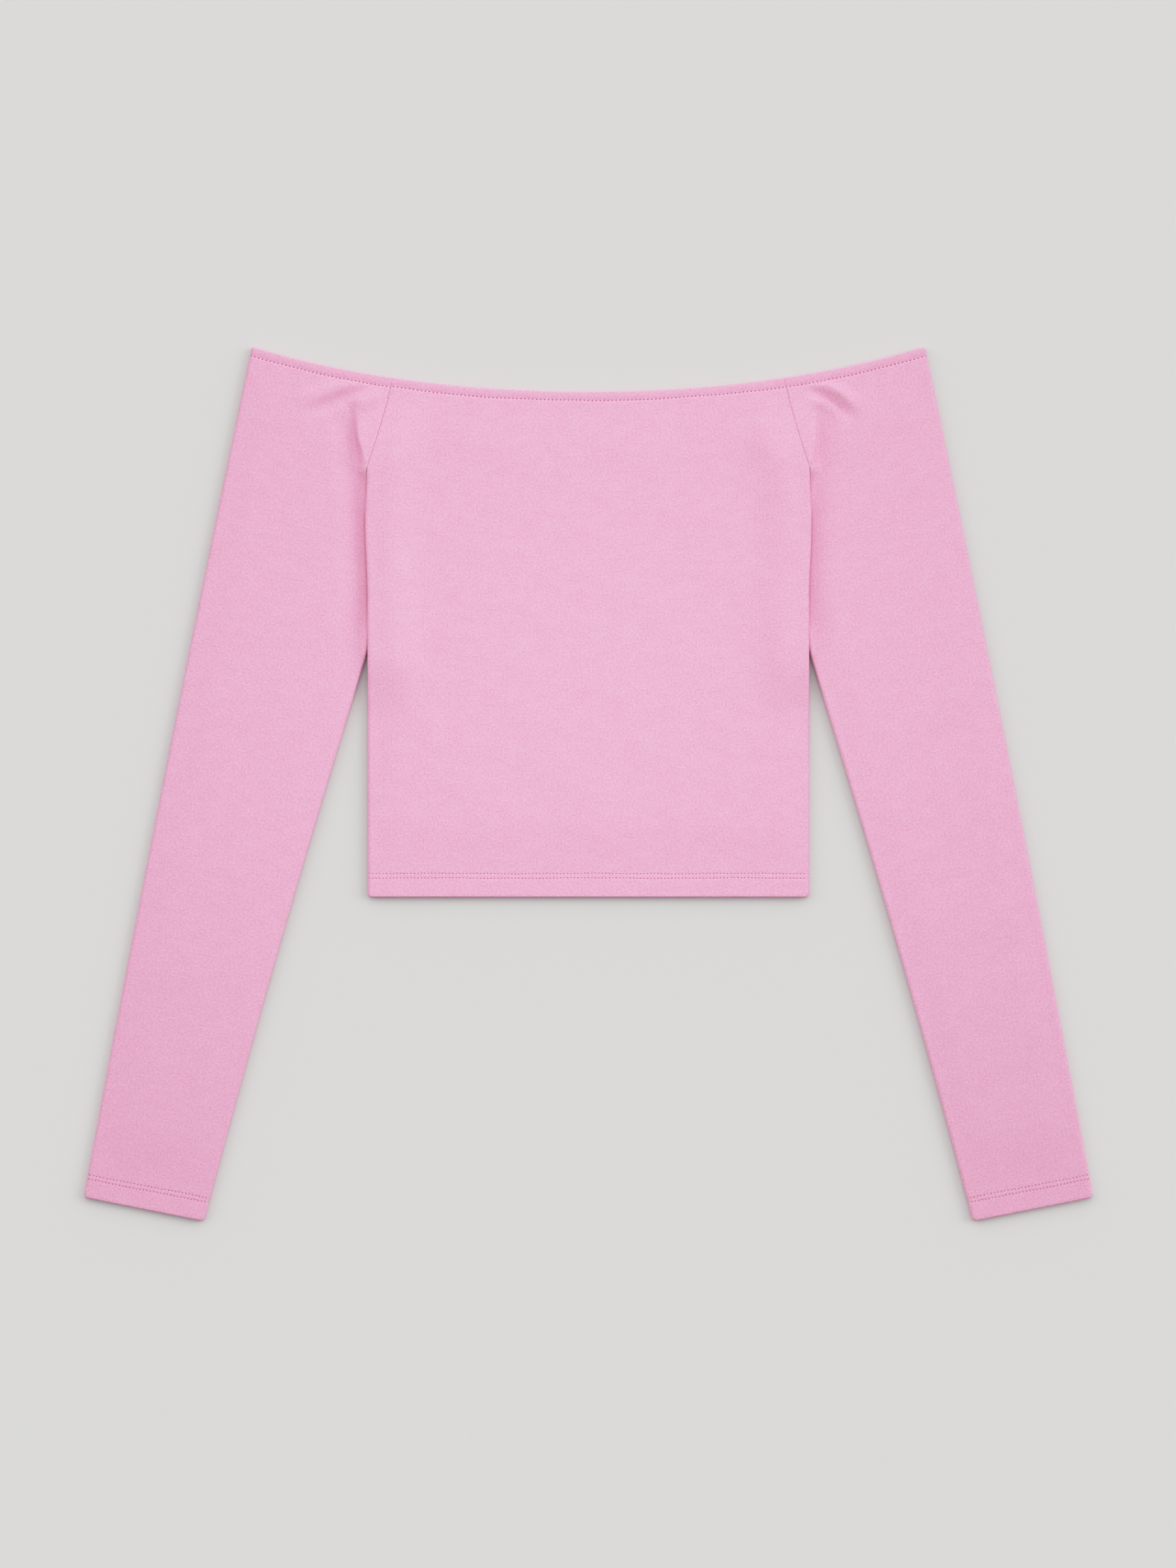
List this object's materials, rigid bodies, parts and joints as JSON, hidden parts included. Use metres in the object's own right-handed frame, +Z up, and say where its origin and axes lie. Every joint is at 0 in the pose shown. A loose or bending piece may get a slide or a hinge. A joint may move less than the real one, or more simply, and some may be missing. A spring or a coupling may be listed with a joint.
{
  "type": "off-shoulder top",
  "caption": "Cropped off-shoulder jersey top with long fitted sleeves, turned hem, cuffs and neckline, laid flat with its front up.",
  "frame": {"origin": "on the surface that the top lies on, under the centre of the whole laid garment", "axes": "+X towards the wearer's left sleeve, +Y from the hem towards the neckline, +Z up from the surface through the front"},
  "size_m": [0.7108, 0.6159, 0.01],
  "materials": {
    "jersey": "smooth brushed cotton and elastane jersey, soft pink, matte with a faint nap"
  },
  "bodies": {
    "root": {"front_panel": "jersey", "back_panel": "jersey", "left_sleeve": "jersey", "right_sleeve": "jersey"}
  },
  "joints": []
}
